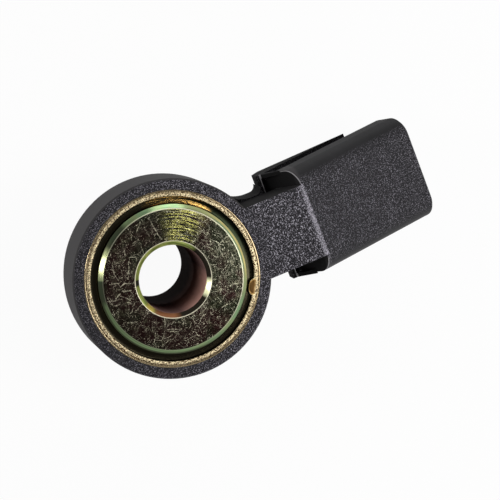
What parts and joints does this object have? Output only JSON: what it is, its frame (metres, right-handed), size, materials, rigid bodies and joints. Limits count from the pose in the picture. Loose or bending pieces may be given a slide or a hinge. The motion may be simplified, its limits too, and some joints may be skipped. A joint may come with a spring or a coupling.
{
  "type": "engine knock sensor",
  "caption": "Flat knock sensor: a plated steel pressure sleeve round a bolt bore, a piezo stack and seismic mass, moulded into a plastic body with a sloping connector shroud.",
  "frame": {"origin": "centre of the bolt bore, on its axis and halfway along the sleeve", "axes": "+Z along the bore out of the contact face, +X from the bore along the connector arm"},
  "size_m": [0.0484, 0.0248, 0.018],
  "materials": {
    "plated_steel": "yellow zinc plate, scratched",
    "black_moulding": "fine grained moulding",
    "insulator_film": "smooth film",
    "contact_brass": "stamped strip",
    "piezo_ceramic": "sintered, matt",
    "mass_steel": "turned",
    "spring_steel": "phosphated",
    "terminal_tin": "tinned",
    "resistor_body": "lacquered",
    "lead_wire": "tinned wire"
  },
  "bodies": {
    "root": {"pressure_sleeve": "plated_steel", "housing": "black_moulding", "front_insulator": "insulator_film", "insulating_tube": "insulator_film", "front_contact_ring": "contact_brass", "piezo_ring": "piezo_ceramic", "rear_contact_ring": "contact_brass", "rear_insulator": "insulator_film", "seismic_mass": "mass_steel", "disc_spring": "spring_steel", "ring_nut": "spring_steel", "terminal_left": "terminal_tin", "terminal_right": "terminal_tin", "bleed_resistor": "resistor_body", "resistor_lead_left": "lead_wire", "resistor_lead_right": "lead_wire"}
  },
  "joints": []
}
